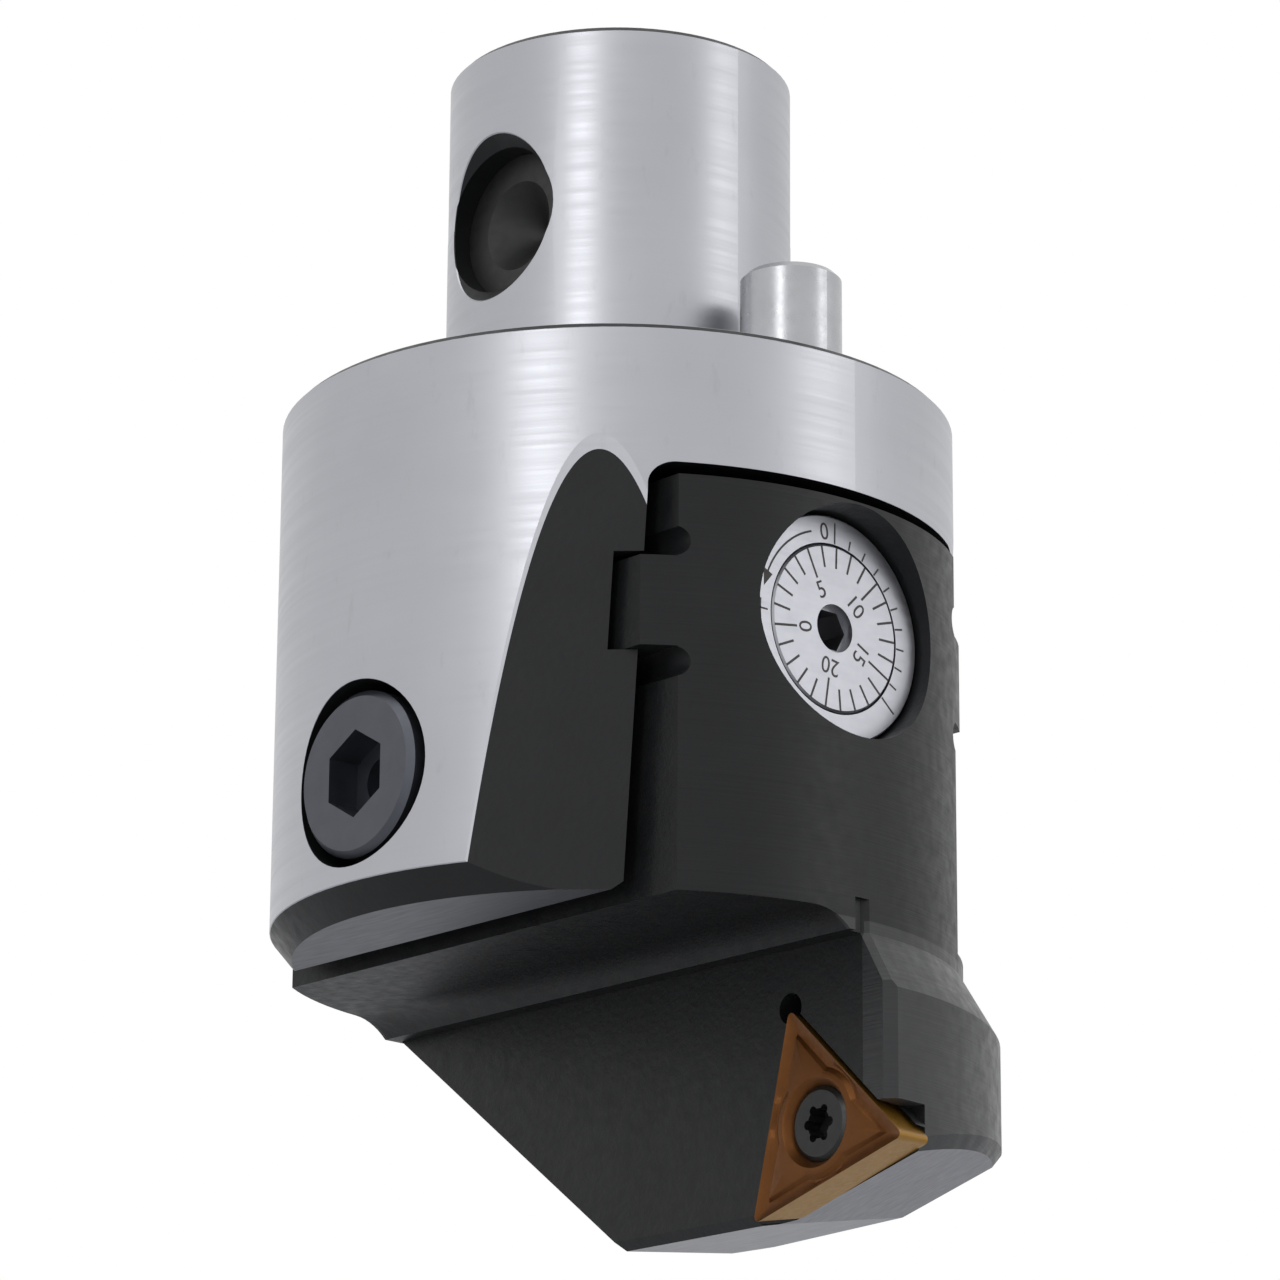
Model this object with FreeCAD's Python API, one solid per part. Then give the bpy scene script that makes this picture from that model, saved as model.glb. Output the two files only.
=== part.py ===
import FreeCAD, Part
import math
import os

# Boring head with a micrometer-fed insert holder. Millimetres.
# +Z runs up the shank, +X is the feed direction, -Y is the clamp screw's side.
# The origin is on the axis, in the plane of the shoulder.

Vector = FreeCAD.Vector
ALONG_X = Vector(1, 0, 0)
ALONG_Y = Vector(0, 1, 0)
ALONG_Z = Vector(0, 0, 1)
REACH = 200.0

# Clearances, and how far a cutting tool runs past a surface
running = 0.03
seat_gap = 0.05
past = 1.0

# Head body
body_d = 54.0
body_h = 44.0
body_top_chamfer = 0.5
body_low_chamfer_w = 1.8
body_low_chamfer_h = 2.2
jaw_corner = 0.6
web_h = 11.1
channel_w = 33.0
channel_fillet = 1.8
groove_depth = 1.6
groove_top = 18.2
groove_h = 7.6
gullet_angle = 45.5
gullet_start = 9.0
gullet_tilt = 3.2

# Shank and coupling
shank_d = 28.0
shank_len = 30.0
shank_chamfer = 0.5
shank_lead = 14.0
shank_lead_drop = 0.02
cross_pin_d = 12.0
cross_pin_below_top = 14.7
cross_pin_recess = 3.0
cross_pin_float = 1.0
cross_pin_cone_d = 7.4
cross_bore_chamfer = 1.1
waist_d = 10.0
cross_grub_d = 6.0
cross_grub_len = 7.0
cross_dog_d = 4.0
hex_cross_grub = 3.0
hex_cross_depth = 3.5
drive_pin_d = 8.0
drive_pin_foot_d = 7.0
drive_pin_relief_d = 10.2
drive_pin_relief = 0.5
drive_pin_circle_r = 20.0
drive_pin_up = 8.3
drive_pin_in = 8.5
drive_pin_chamfer = 0.5

# Insert holder
rest_feed = 0.8
feed_in = 0.8
feed_out = 2.7
holder_d = 53.6
block_side_gap = 1.6
block_top_gap = 1.1
rib_top_gap = 0.5
rib_side_gap = 0.9
undercut_r = 1.2
undercut_depth = 0.8
flange_gap = 0.35
flange_h = 1.55
gash_ceiling = 0.5
gash_fillet = 5.0
rake_step = 0.15
cone_angle = 30.0
nose_d = 60.4
nose_shift = -0.8
nose_len = 21.8
nose_edge = 0.7
rim_chamfer = 0.8
rake_chamfer = 0.5
end_slope = 0.197
lead_slope_x = 0.27
lead_slope_y = 0.27
lead_step = 0.1
back_bevel_y = 20.8
back_bevel_slope = 1.0
heel_slope_x = 0.77
heel_slope_y = 0.254
heel_drop = 0.2

# Insert
insert_ic = 9.525
insert_t = 3.97
insert_clearance = 7.0
insert_corner = 0.4
insert_turn = 106.2
insert_out = 0.97
insert_up = 6.17
insert_hole_d = 4.4
insert_sink_d = 6.6
insert_sink_depth = 2.2
insert_screw_d = 4.0
insert_head_d = 5.8
insert_head_recess = 0.45
insert_head_rim = 0.25
insert_screw_len = 4.5
insert_hole_spare = 1.5
star_r = 1.15
star_lobe_r = 0.37
star_depth = 1.6
pocket_open = 12.0
pocket_wall_gap = 0.35
pocket_relief_r = 1.2
tip_relief_len = 4.4
tip_relief_w = 1.3
tip_relief_past = 3.0

# Micrometer feed
dial_drop = 21.6
dial_d = 13.2
dial_face = 24.7
dial_t = 1.9
dial_eye_d = 3.8
dial_edge = 0.15
dial_lip = 0.7
ring_d = 18.0
ring_bore_d = 18.4
ring_gap = 0.15
ring_floor = 1.4
ring_len = 3.4
ring_set_back = 0.1
ring_eye_gap = 0.2
collar_d = 12.4
collar_bore_d = 13.4
collar_t = 2.5
washer_t = 1.2
spring_t = 0.6
spring_bore_gap = 0.3
journal_d = 8.0
journal_len = 8.0
thread_d = 7.0
tail_d = 6.0
tail_len = 5.5
tail_gap = 0.6
hex_feed = 3.0
hex_feed_depth = 3.2
bush_d = 10.4
bush_len = 5.0
plug_len = 4.5
plug_recess = 1.5
hex_plug = 5.2
hex_plug_depth = 2.25
dial_grub_d = 1.0
dial_grub_in = 0.6
dial_grub_recess = 0.3
ring_pin_d = 1.2
ring_pin_len = 3.5
ring_pin_in = 2.0
seal_d = 0.76

# Feed nut
nut_x = -4.0
nut_d = 10.0
nut_in = 8.0
nut_below_axis = 5.0
nut_side_gap = 0.7
nut_grub_d = 5.0
nut_grub_len = 15.0
nut_grub_depth = 6.5
hex_nut_grub = 2.5
hex_nut_depth = 2.5

# Travel stop
stop_pin_d = 4.0
stop_pin_x = 6.0
stop_pin_y = 10.0
stop_pin_in = 7.5
stop_pin_down = 3.4
stop_end_gap = 0.1
stop_foot_gap = 0.5

# Clamp screw
clamp_drop = 33.35
clamp_d = 8.0
clamp_head_d = 13.0
clamp_head_h = 5.0
clamp_recess = 0.2
clamp_bore_d = 14.6
clamp_hole_d = 9.0
clamp_washer_t = 1.0
clamp_washer_gap = 0.2
clamp_grip = 6.5
clamp_edge = 0.5
clamp_tip = 1.0
hex_clamp = 6.0
hex_clamp_depth = 2.8
pilot_d = 3.6
pilot_depth = 4.2

# Gib strips
gib_x0 = -20.0
gib_x1 = 14.0
gib_below_groove = 2.7
gib_above_foot = 3.5
gib_pin_d = 2.0
gib_pin_len = 4.4
gib_pin_inset = 6.0
gib_pin_recess = 0.4

# Worked out from the above
body_r = body_d / 2
shank_r = shank_d / 2
holder_r = holder_d / 2
nose_r = nose_d / 2
nose_x = rest_feed + nose_shift
channel_half = channel_w / 2
groove_half = channel_half + groove_depth
block_half = channel_half - block_side_gap
rib_half = groove_half - rib_side_gap
block_top = -web_h - block_top_gap
groove_floor = -groove_top - groove_h
rib_top = -groove_top - rib_top_gap
rib_bottom = groove_floor + seat_gap
flange_top = -body_h - flange_gap
flange_bottom = flange_top - flange_h
ceiling = -body_h - gash_ceiling
nose_bottom = -body_h - nose_len
pocket_span = math.cos(math.radians(insert_turn - 120.0))
tip_reach = (insert_ic - 2 * insert_corner) * pocket_span + insert_corner
insert_x = nose_x + nose_r + insert_out - tip_reach
insert_z = nose_bottom + insert_up
ring_seat = dial_face - ring_set_back - ring_len
collar_seat = ring_seat - 4 * spring_t - washer_t - collar_t
journal_end = collar_seat - journal_len
nut_r = nut_d / 2
pocket_x0 = nut_x - nut_r - feed_out - nut_side_gap
pocket_x1 = nut_x + nut_r + feed_in + nut_side_gap
pocket_bottom = -dial_drop - nut_below_axis - nut_side_gap
clamp_seat = -body_r + clamp_recess + clamp_head_h + clamp_washer_t
gib_inner = block_half + running
gib_top = groove_floor - gib_below_groove
gib_bottom = -body_h + gib_above_foot
cross_pin_height = shank_len - cross_pin_below_top


def rod(radius, start, length, along):
    return Part.makeCylinder(radius, length, start, along)


def block(x0, x1, y0, y1, z0, z1):
    corner = Vector(x0, y0, z0)
    return Part.makeBox(x1 - x0, y1 - y0, z1 - z0, corner)


def cone(r0, r1, start, length, along):
    return Part.makeCone(r0, r1, length, start, along)


def lathe(points):
    """Solid turned about Z from (radius, height) points."""
    corners = [Vector(r, 0, z) for r, z in points]
    face = Part.Face(Part.makePolygon(corners + corners[:1]))
    return face.revolve(Vector(0, 0, 0), ALONG_Z, 360)


def turned_along(points, origin, along):
    """Solid turned about a line through origin, from (radius, distance) points."""
    solid = lathe(points)
    solid.Placement = FreeCAD.Placement(origin, FreeCAD.Rotation(ALONG_Z, along))
    return solid


def prism(points, push):
    face = Part.Face(Part.makePolygon(points + points[:1]))
    return face.extrude(push)


def hexagon(across, centre, along, depth):
    """Hexagonal prism, used as a key socket."""
    outer = across / math.sqrt(3)
    points = []
    for i in range(6):
        turn = math.radians(60 * i + 30)
        points.append(Vector(outer * math.cos(turn), outer * math.sin(turn), 0))
    tool = prism(points, Vector(0, 0, depth))
    tool.Placement = FreeCAD.Placement(centre, FreeCAD.Rotation(ALONG_Z, along))
    return tool


def beyond_plane(point, normal):
    """Everything on the side of a plane that its normal points to."""
    half = REACH / 2
    slab = Part.makeBox(REACH, REACH, REACH, Vector(-half, -half, 0))
    slab.Placement = FreeCAD.Placement(point, FreeCAD.Rotation(ALONG_Z, normal))
    return slab


def below_slope(point, slope_x, slope_y):
    """Everything under a sloping plane through a point."""
    return beyond_plane(point, Vector(slope_x, slope_y, -1))


# Head body

def gullet(side):
    turn = math.radians(side * gullet_angle)
    tilt = math.radians(gullet_tilt)
    out = Vector(math.cos(turn), math.sin(turn), 0)
    normal = out * math.cos(tilt) - ALONG_Z * math.sin(tilt)
    start = out * body_r - ALONG_Z * gullet_start
    return beyond_plane(start, normal)


def channel():
    slot = block(-REACH, REACH, -channel_half, channel_half, -REACH, -web_h)
    corners = []
    for edge in slot.Edges:
        centre = edge.CenterOfMass
        if abs(centre.z + web_h) < 0.01 and abs(centre.x) < 0.01:
            corners.append(edge)
    slot = slot.makeFillet(channel_fillet, corners)
    groove = block(-REACH, REACH, -groove_half, groove_half, groove_floor, -groove_top)
    lips = [slot, groove]
    for side in (-1, 1):
        foot = Vector(-REACH, side * channel_half, -body_h)
        points = [
            foot + Vector(0, -side * jaw_corner, -jaw_corner),
            foot + Vector(0, -side * jaw_corner, 2 * jaw_corner),
            foot + Vector(0, 2 * side * jaw_corner, -jaw_corner),
        ]
        lips.append(prism(points, ALONG_X * 2 * REACH))
    return lips


def cross_bore():
    bore_r = cross_pin_d / 2
    span = shank_d + 2 * past
    start = Vector(0, -span / 2, cross_pin_height)
    tools = [rod(bore_r, start, span, ALONG_Y)]
    wide = bore_r + cross_bore_chamfer
    for side in (-1, 1):
        mouth = Vector(0, side * shank_r, cross_pin_height)
        inward = ALONG_Y * -side
        tools.append(cone(wide, bore_r, mouth, cross_bore_chamfer, inward))
    return tools


def clamp_bores():
    mouth = Vector(0, -body_r - past, -clamp_drop)
    seat = Vector(0, clamp_seat, -clamp_drop)
    thread = Vector(0, channel_half - past, -clamp_drop)
    return [
        rod(clamp_bore_d / 2, mouth, clamp_seat + body_r + past, ALONG_Y),
        rod(clamp_hole_d / 2, seat, -channel_half - clamp_seat + past, ALONG_Y),
        rod(clamp_d / 2 + seat_gap, thread, clamp_grip + 2 * past, ALONG_Y),
    ]


def gib_pin_places():
    height = (gib_top + gib_bottom) / 2
    return [(gib_x0 + gib_pin_inset, height), (gib_x1 - gib_pin_inset, height)]


def gib_pin(side, x, z, radius, length):
    start = Vector(x, side * (gib_inner + gib_pin_recess), z)
    return rod(radius, start, length, ALONG_Y * side)


def head_body():
    lead_r = shank_r - shank_lead_drop
    profile = [
        (0, -body_h),
        (body_r - body_low_chamfer_w, -body_h),
        (body_r, -body_h + body_low_chamfer_h),
        (body_r, -body_top_chamfer),
        (body_r - body_top_chamfer, 0),
        (shank_r, 0),
        (shank_r, shank_len - shank_lead),
        (lead_r, shank_len - shank_lead),
        (lead_r, shank_len - shank_chamfer),
        (lead_r - shank_chamfer, shank_len),
        (0, shank_len),
    ]
    body = lathe(profile)
    pin_floor = Vector(drive_pin_circle_r, 0, -drive_pin_in)
    nut_mouth = Vector(nut_x, 0, -web_h - past)
    grub_mouth = Vector(-body_r - past, 0, -nut_grub_depth)
    stop_mouth = Vector(stop_pin_x, stop_pin_y, -web_h - past)
    grub_hole = Vector(0, 0, cross_pin_height)
    tools = [gullet(-1), gullet(1)]
    tools += channel()
    tools += cross_bore()
    tools += clamp_bores()
    pin_relief = Vector(drive_pin_circle_r, 0, -drive_pin_relief)
    tools.append(rod(drive_pin_foot_d / 2, pin_floor, drive_pin_in + past, ALONG_Z))
    tools.append(rod(drive_pin_relief_d / 2, pin_relief, drive_pin_relief + past, ALONG_Z))
    tools.append(rod(nut_r, nut_mouth, nut_in + past, ALONG_Z))
    tools.append(rod(nut_grub_d / 2, grub_mouth, body_r + past + nut_x, ALONG_X))
    tools.append(rod(stop_pin_d / 2, stop_mouth, stop_pin_in + past, ALONG_Z))
    tools.append(rod(cross_grub_d / 2, grub_hole, REACH, ALONG_Z))
    for x, z in gib_pin_places():
        for side in (-1, 1):
            tools.append(gib_pin(side, x, z, gib_pin_d / 2, gib_pin_len))
    return body.cut(tools)


def drive_pin():
    """Stepped dowel: its narrower foot is pressed into the shoulder."""
    radius = drive_pin_d / 2
    foot_r = drive_pin_foot_d / 2
    profile = [
        (0, -drive_pin_in),
        (foot_r - drive_pin_chamfer, -drive_pin_in),
        (foot_r, -drive_pin_in + drive_pin_chamfer),
        (foot_r, -drive_pin_relief),
        (radius, -drive_pin_relief),
        (radius, drive_pin_up - drive_pin_chamfer),
        (radius - drive_pin_chamfer, drive_pin_up),
        (0, drive_pin_up),
    ]
    return turned_along(profile, Vector(drive_pin_circle_r, 0, 0), ALONG_Z)


def coupling_pin():
    radius = cross_pin_d / 2 - running
    half = shank_r - cross_pin_recess
    waist_half = cross_dog_d / 2 + cross_pin_float + running
    waist_r = waist_d / 2
    mouth_r = cross_pin_cone_d / 2
    profile = [
        (0, -half + mouth_r),
        (mouth_r, -half),
        (radius, -half),
        (radius, -waist_half),
        (waist_r, -waist_half),
        (waist_r, waist_half),
        (radius, waist_half),
        (radius, half),
        (mouth_r, half),
        (0, half - mouth_r),
    ]
    return turned_along(profile, Vector(0, 0, cross_pin_height), ALONG_Y)


def coupling_pin_screw():
    tip = cross_pin_height + waist_d / 2 + seat_gap
    foot = cross_pin_height + cross_pin_d / 2 + seat_gap
    dog = rod(cross_dog_d / 2, Vector(0, 0, tip), foot - tip, ALONG_Z)
    screw = rod(cross_grub_d / 2, Vector(0, 0, foot), cross_grub_len, ALONG_Z)
    top = Vector(0, 0, foot + cross_grub_len)
    socket = hexagon(hex_cross_grub, top, ALONG_Z * -1, hex_cross_depth)
    return screw.fuse(dog).cut(socket).removeSplitter()


# Insert holder

def holder_blank():
    centre = Vector(rest_feed, 0, ceiling)
    round_bar = rod(holder_r, centre, block_top - ceiling, ALONG_Z)
    slide = block(-REACH, REACH, -block_half, block_half, ceiling, block_top)
    rib = block(-REACH, REACH, -rib_half, rib_half, rib_bottom, rib_top)
    slide = round_bar.common(slide)
    rib = round_bar.common(rib)
    return slide.fuse(rib)


def rib_undercuts():
    tools = []
    for side in (-1, 1):
        for z in (rib_top + undercut_r, rib_bottom - undercut_r):
            y = side * (block_half - undercut_depth + undercut_r)
            start = Vector(-REACH / 2, y, z)
            tools.append(rod(undercut_r, start, REACH, ALONG_X))
    return tools


def nose_blank():
    cone_h = nose_len + past
    wide = holder_r + cone_h * math.tan(math.radians(cone_angle))
    top = Vector(rest_feed, 0, flange_bottom)
    flare = cone(holder_r, wide, top, cone_h, ALONG_Z * -1)
    limit = rod(nose_r, Vector(nose_x, 0, flange_bottom), cone_h, ALONG_Z * -1)
    return flare.common(limit)


def lead_point():
    return insert_corners(insert_t)[2] + Vector(0, 0, lead_step)


def lead_plane():
    """The relief face behind the cutting edge, just under the insert's back edge."""
    return below_slope(lead_point(), lead_slope_x, lead_slope_y)


def back_bevel():
    """Steeper relief that ends the first one, away from the cutting edge."""
    start = lead_point()
    across = back_bevel_y - start.y
    point = start + Vector(0, across, lead_slope_y * across)
    return below_slope(point, lead_slope_x, back_bevel_slope)


def rim_edges(nose):
    edges = []
    for edge in nose.Edges:
        middle = edge.valueAt((edge.FirstParameter + edge.LastParameter) / 2)
        out = math.hypot(middle.x - nose_x, middle.y)
        if abs(out - nose_r) > 0.01 or middle.z > nose_bottom + 0.6 * nose_len:
            continue
        if middle.x > nose_x and middle.y > 0:
            edges.append(edge)
    return edges


def relieved_nose():
    behind = block(-REACH, REACH, rake_step, REACH, -REACH, 0)
    nose = nose_blank().common(behind)
    edge_y = rake_step + nose_edge
    edge_z = nose_bottom - nose_edge
    nose = nose.cut(lead_plane())
    nose = nose.cut(below_slope(Vector(0, edge_y, edge_z), 0, end_slope))
    rims = rim_edges(nose)
    if rims:
        nose = nose.makeChamfer(rim_chamfer, rims)
    nose = nose.cut(below_slope(Vector(0, edge_y, edge_z), 0, -1))
    nose = nose.cut(back_bevel())
    heel = Vector(0, 0, nose_bottom + heel_drop)
    return nose.cut(below_slope(heel, -heel_slope_x, -heel_slope_y))


def gash():
    """Chip space in front of the rake face, with a rounded inner corner."""
    floor = -REACH
    inner_y = rake_step - gash_fillet
    inner_z = ceiling - gash_fillet
    bend = math.radians(45)
    mid_y = inner_y + gash_fillet * math.cos(bend)
    mid_z = inner_z + gash_fillet * math.sin(bend)

    def at(y, z):
        return Vector(-REACH, y, z)

    corner = Part.Arc(at(rake_step, inner_z), at(mid_y, mid_z), at(inner_y, ceiling))
    run = [
        at(inner_y, ceiling),
        at(-block_half, ceiling),
        at(-block_half, -body_h + past),
        at(-REACH, -body_h + past),
        at(-REACH, floor),
        at(rake_step, floor),
        at(rake_step, inner_z),
    ]
    edges = [corner.toShape()]
    for a, b in zip(run, run[1:]):
        edges.append(Part.makeLine(a, b))
    face = Part.Face(Part.Wire(Part.__sortEdges__(edges)))
    return face.extrude(ALONG_X * 2 * REACH)


def rake_bevel():
    """Narrow facet along the outer edge of the rake face."""
    flare_h = (nose_x + nose_r - rest_feed - holder_r) / math.tan(math.radians(cone_angle))
    inner_x = rest_feed + holder_r
    outer_x = nose_x + nose_r
    levels = [
        (inner_x, flange_top + past),
        (inner_x, flange_bottom),
        (outer_x, flange_bottom - flare_h),
        (outer_x, -REACH),
    ]
    wires = []
    for x, z in levels:
        wide = 10 * rake_chamfer
        a = Vector(x - rake_chamfer, rake_step, z)
        b = a + Vector(wide, wide, 0)
        c = a + Vector(wide, -past, 0)
        d = a + Vector(0, -past, 0)
        wires.append(Part.makePolygon([a, b, c, d, a]))
    return Part.makeLoft(wires, True, True)


def clamp_slot():
    half = clamp_hole_d / 2
    left = -feed_out
    right = feed_in
    z = -clamp_drop
    slot = block(left, right, -REACH, REACH, z - half, z + half)
    for x in (left, right):
        slot = slot.fuse(rod(half, Vector(x, -REACH, z), 2 * REACH, ALONG_Y))
    return slot


def slot_along_x(x0, x1, y, half, z0, z1):
    slot = block(x0 + half, x1 - half, y - half, y + half, z0, z1)
    for x in (x0 + half, x1 - half):
        slot = slot.fuse(rod(half, Vector(x, y, z0), z1 - z0, ALONG_Z))
    return slot


def feed_bores():
    z = -dial_drop
    half = nut_r + nut_side_gap
    stop_half = stop_pin_d / 2 + seat_gap
    stop_x0 = stop_pin_x - feed_out - stop_pin_d / 2 - stop_end_gap
    stop_x1 = stop_pin_x + feed_in + stop_pin_d / 2 + stop_end_gap
    stop_z = block_top - stop_pin_down
    rear = pocket_x0 - past
    return [
        rod(ring_bore_d / 2, Vector(ring_seat, 0, z), REACH, ALONG_X),
        rod(collar_bore_d / 2, Vector(collar_seat, 0, z), REACH, ALONG_X),
        rod(journal_d / 2 + running, Vector(pocket_x1 - half, 0, z), REACH, ALONG_X),
        slot_along_x(pocket_x0, pocket_x1, 0, half, pocket_bottom, 0),
        slot_along_x(stop_x0, stop_x1, stop_pin_y, stop_half, stop_z, 0),
        rod(thread_d / 2 + 2 * running, Vector(rear, 0, z), past + half, ALONG_X),
        rod(bush_d / 2, Vector(rear, 0, z), REACH, ALONG_X * -1),
        ring_pin_rod(ring_pin_d / 2),
    ]


def ring_pin_rod(radius):
    out = (collar_bore_d + ring_d) / 4
    start = Vector(ring_seat - ring_pin_in, 0, -dial_drop + out)
    return rod(radius, start, ring_pin_len, ALONG_X)


def insert_holder():
    flange = rod(holder_r, Vector(rest_feed, 0, flange_bottom), flange_h, ALONG_Z)
    holder = holder_blank().cut(rib_undercuts())
    holder = holder.fuse([flange, relieved_nose()])
    tools = [gash(), rake_bevel(), clamp_slot()]
    tools += feed_bores()
    tools += insert_pocket()
    return holder.cut(tools).removeSplitter()


# Insert and its pocket

def triangle_corner(reach, index, depth):
    turn = math.radians(insert_turn - 120.0 * index)
    x = insert_x + reach * math.cos(turn)
    z = insert_z + reach * math.sin(turn)
    return Vector(x, depth, z)


def insert_corners(depth):
    """Sharp corners: top, outer and lower, at a depth below the rake face."""
    narrow = depth * math.tan(math.radians(insert_clearance))
    reach = insert_ic - 2 * narrow
    return [triangle_corner(reach, i, depth) for i in range(3)]


def rounded_outline(depth):
    """Insert outline at a depth, with its corners rounded."""
    sharp = insert_corners(depth)
    centre = Vector(insert_x, depth, insert_z)
    starts = []
    tops = []
    ends = []
    for i, corner in enumerate(sharp):
        inward = (centre - corner).normalize()
        hub = corner + inward * 2 * insert_corner
        back = (sharp[i - 1] - corner).normalize()
        ahead = (sharp[(i + 1) % 3] - corner).normalize()
        trim = insert_corner * math.sqrt(3)
        starts.append(corner + back * trim)
        tops.append(hub - inward * insert_corner)
        ends.append(corner + ahead * trim)
    edges = []
    for i in range(3):
        edges.append(Part.Arc(starts[i], tops[i], ends[i]).toShape())
        edges.append(Part.makeLine(ends[i], starts[(i + 1) % 3]))
    return Part.Wire(edges)


def insert():
    body = Part.makeLoft([rounded_outline(0), rounded_outline(insert_t)], True, True)
    centre = Vector(insert_x, -past, insert_z)
    face = Vector(insert_x, 0, insert_z)
    hole = rod(insert_hole_d / 2, centre, insert_t + 2 * past, ALONG_Y)
    sink = cone(insert_sink_d / 2, insert_hole_d / 2, face, insert_sink_depth, ALONG_Y)
    return body.cut([hole, sink])


def insert_screw():
    start = insert_head_recess
    radius = insert_screw_d / 2
    head_r = insert_head_d / 2
    neck = insert_sink_depth + running
    profile = [
        (0, start),
        (head_r - 1.5 * insert_head_rim, start),
        (head_r - running, start + insert_head_rim),
        (radius, neck),
        (radius, insert_t + insert_screw_len),
        (0, insert_t + insert_screw_len),
    ]
    screw = turned_along(profile, Vector(insert_x, 0, insert_z), ALONG_Y)
    face = Vector(insert_x, start, insert_z)
    star = [rod(star_r, face, star_depth, ALONG_Y)]
    for i in range(6):
        turn = math.radians(60 * i)
        side = Vector(star_r * math.cos(turn), 0, star_r * math.sin(turn))
        star.append(rod(star_lobe_r, face + side, star_depth, ALONG_Y))
    return screw.cut(star)


def insert_pocket():
    """Seat for the insert, open along the cutting edge."""
    wires = []
    for depth in (-past, insert_t):
        top, outer, lower = insert_corners(depth)
        along = (outer - lower).normalize()
        down = Vector(along.z, 0, -along.x) * pocket_open
        away = ((outer - top).cross(ALONG_Y)).normalize()
        if away.dot(outer - Vector(insert_x, depth, insert_z)) < 0:
            away = away * -1
        shift = away * pocket_wall_gap
        points = [top, top + shift, outer + shift, outer + shift + down, lower + down, lower, top]
        wires.append(Part.makePolygon(points))
    seat = Part.makeLoft(wires, True, True)
    top, outer, lower = insert_corners(0)
    edge = (top - outer).normalize()
    away = edge.cross(ALONG_Y)
    if away.dot(outer - Vector(insert_x, 0, insert_z)) < 0:
        away = away * -1
    near = outer + edge * tip_relief_len - ALONG_Y
    far = outer - edge * tip_relief_past - ALONG_Y
    relief = prism(
        [near, near + away * tip_relief_w - edge * tip_relief_w, far + away * tip_relief_w, far],
        ALONG_Y * (insert_t + past),
    )
    notch = top - ALONG_Y
    screw_start = Vector(insert_x, insert_t - past, insert_z)
    screw_r = insert_screw_d / 2 + running
    return [
        seat,
        relief,
        rod(pocket_relief_r, notch, insert_t + past, ALONG_Y),
        rod(screw_r, screw_start, insert_screw_len + insert_hole_spare, ALONG_Y),
    ]


# Micrometer feed

def micrometer_spindle():
    neck_r = thread_d / 2
    neck_end = dial_face - dial_lip
    tail_start = pocket_x0 - tail_gap
    profile = [
        (0, tail_start - tail_len),
        (tail_d / 2, tail_start - tail_len),
        (tail_d / 2, tail_start),
        (thread_d / 2, tail_start),
        (thread_d / 2, journal_end),
        (journal_d / 2, journal_end),
        (journal_d / 2, collar_seat),
        (collar_d / 2, collar_seat),
        (collar_d / 2, collar_seat + collar_t),
        (neck_r, collar_seat + collar_t),
        (neck_r, neck_end),
        (0, neck_end),
    ]
    spindle = turned_along(profile, Vector(0, 0, -dial_drop), ALONG_X)
    face = Vector(neck_end, 0, -dial_drop)
    return spindle.cut(hexagon(hex_feed, face, ALONG_X * -1, hex_feed_depth))


def dial_grub_rod(radius):
    start = Vector(dial_face - dial_t + dial_grub_in, 0, -dial_drop + thread_d / 2)
    length = dial_d / 2 - thread_d / 2 - dial_grub_recess
    return rod(radius, start, length, ALONG_Z)


def graduated_dial():
    back = dial_face - dial_t
    profile = [
        (thread_d / 2 + running, back),
        (dial_d / 2, back),
        (dial_d / 2, dial_face - dial_edge),
        (dial_d / 2 - dial_edge, dial_face),
        (dial_eye_d / 2, dial_face),
        (dial_eye_d / 2, dial_face - dial_lip),
        (thread_d / 2 + running, dial_face - dial_lip),
    ]
    dial = turned_along(profile, Vector(0, 0, -dial_drop), ALONG_X)
    return dial.cut(dial_grub_rod(dial_grub_d / 2))


def dial_grub_screw():
    return dial_grub_rod(dial_grub_d / 2)


def vernier_ring():
    face = ring_seat + ring_len
    cup = ring_seat + ring_floor
    eye = thread_d / 2 + ring_eye_gap
    profile = [
        (eye, ring_seat),
        (ring_d / 2, ring_seat),
        (ring_d / 2, face - dial_edge),
        (ring_d / 2 - dial_edge, face),
        (dial_d / 2 + ring_gap, face),
        (dial_d / 2 + ring_gap, cup),
        (eye, cup),
    ]
    ring = turned_along(profile, Vector(0, 0, -dial_drop), ALONG_X)
    middle = ring_seat + ring_floor / 2
    groove_r = thread_d / 2 + seal_d + 3 * running
    start = Vector(middle - seal_d / 2 - running, 0, -dial_drop)
    groove = rod(groove_r, start, seal_d + 2 * running, ALONG_X)
    return ring.cut([groove, ring_pin_rod(ring_pin_d / 2)])


def ring_pin():
    return ring_pin_rod(ring_pin_d / 2)


def thrust_washer():
    start = collar_seat + collar_t
    inner = thread_d / 2 + ring_eye_gap
    outer = collar_bore_d / 2 - seat_gap
    profile = [(inner, start), (outer, start), (outer, start + washer_t), (inner, start + washer_t)]
    return turned_along(profile, Vector(0, 0, -dial_drop), ALONG_X)


def disc_springs():
    start = collar_seat + collar_t + washer_t
    inner = thread_d / 2 + spring_bore_gap
    outer = collar_bore_d / 2 - 2 * seat_gap
    springs = []
    for base, rise in ((start, 1), (start + 4 * spring_t, -1)):
        step = rise * spring_t
        profile = [(inner, base), (outer, base + step), (outer, base + 2 * step), (inner, base + step)]
        springs.append(turned_along(profile, Vector(0, 0, -dial_drop), ALONG_X))
    return Part.makeCompound(springs)


def dial_seal():
    centre = Vector(ring_seat + ring_floor / 2, 0, -dial_drop)
    path_r = thread_d / 2 + seal_d / 2 + running
    return Part.makeTorus(path_r, seal_d / 2 - running / 2, centre, ALONG_X)


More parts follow.
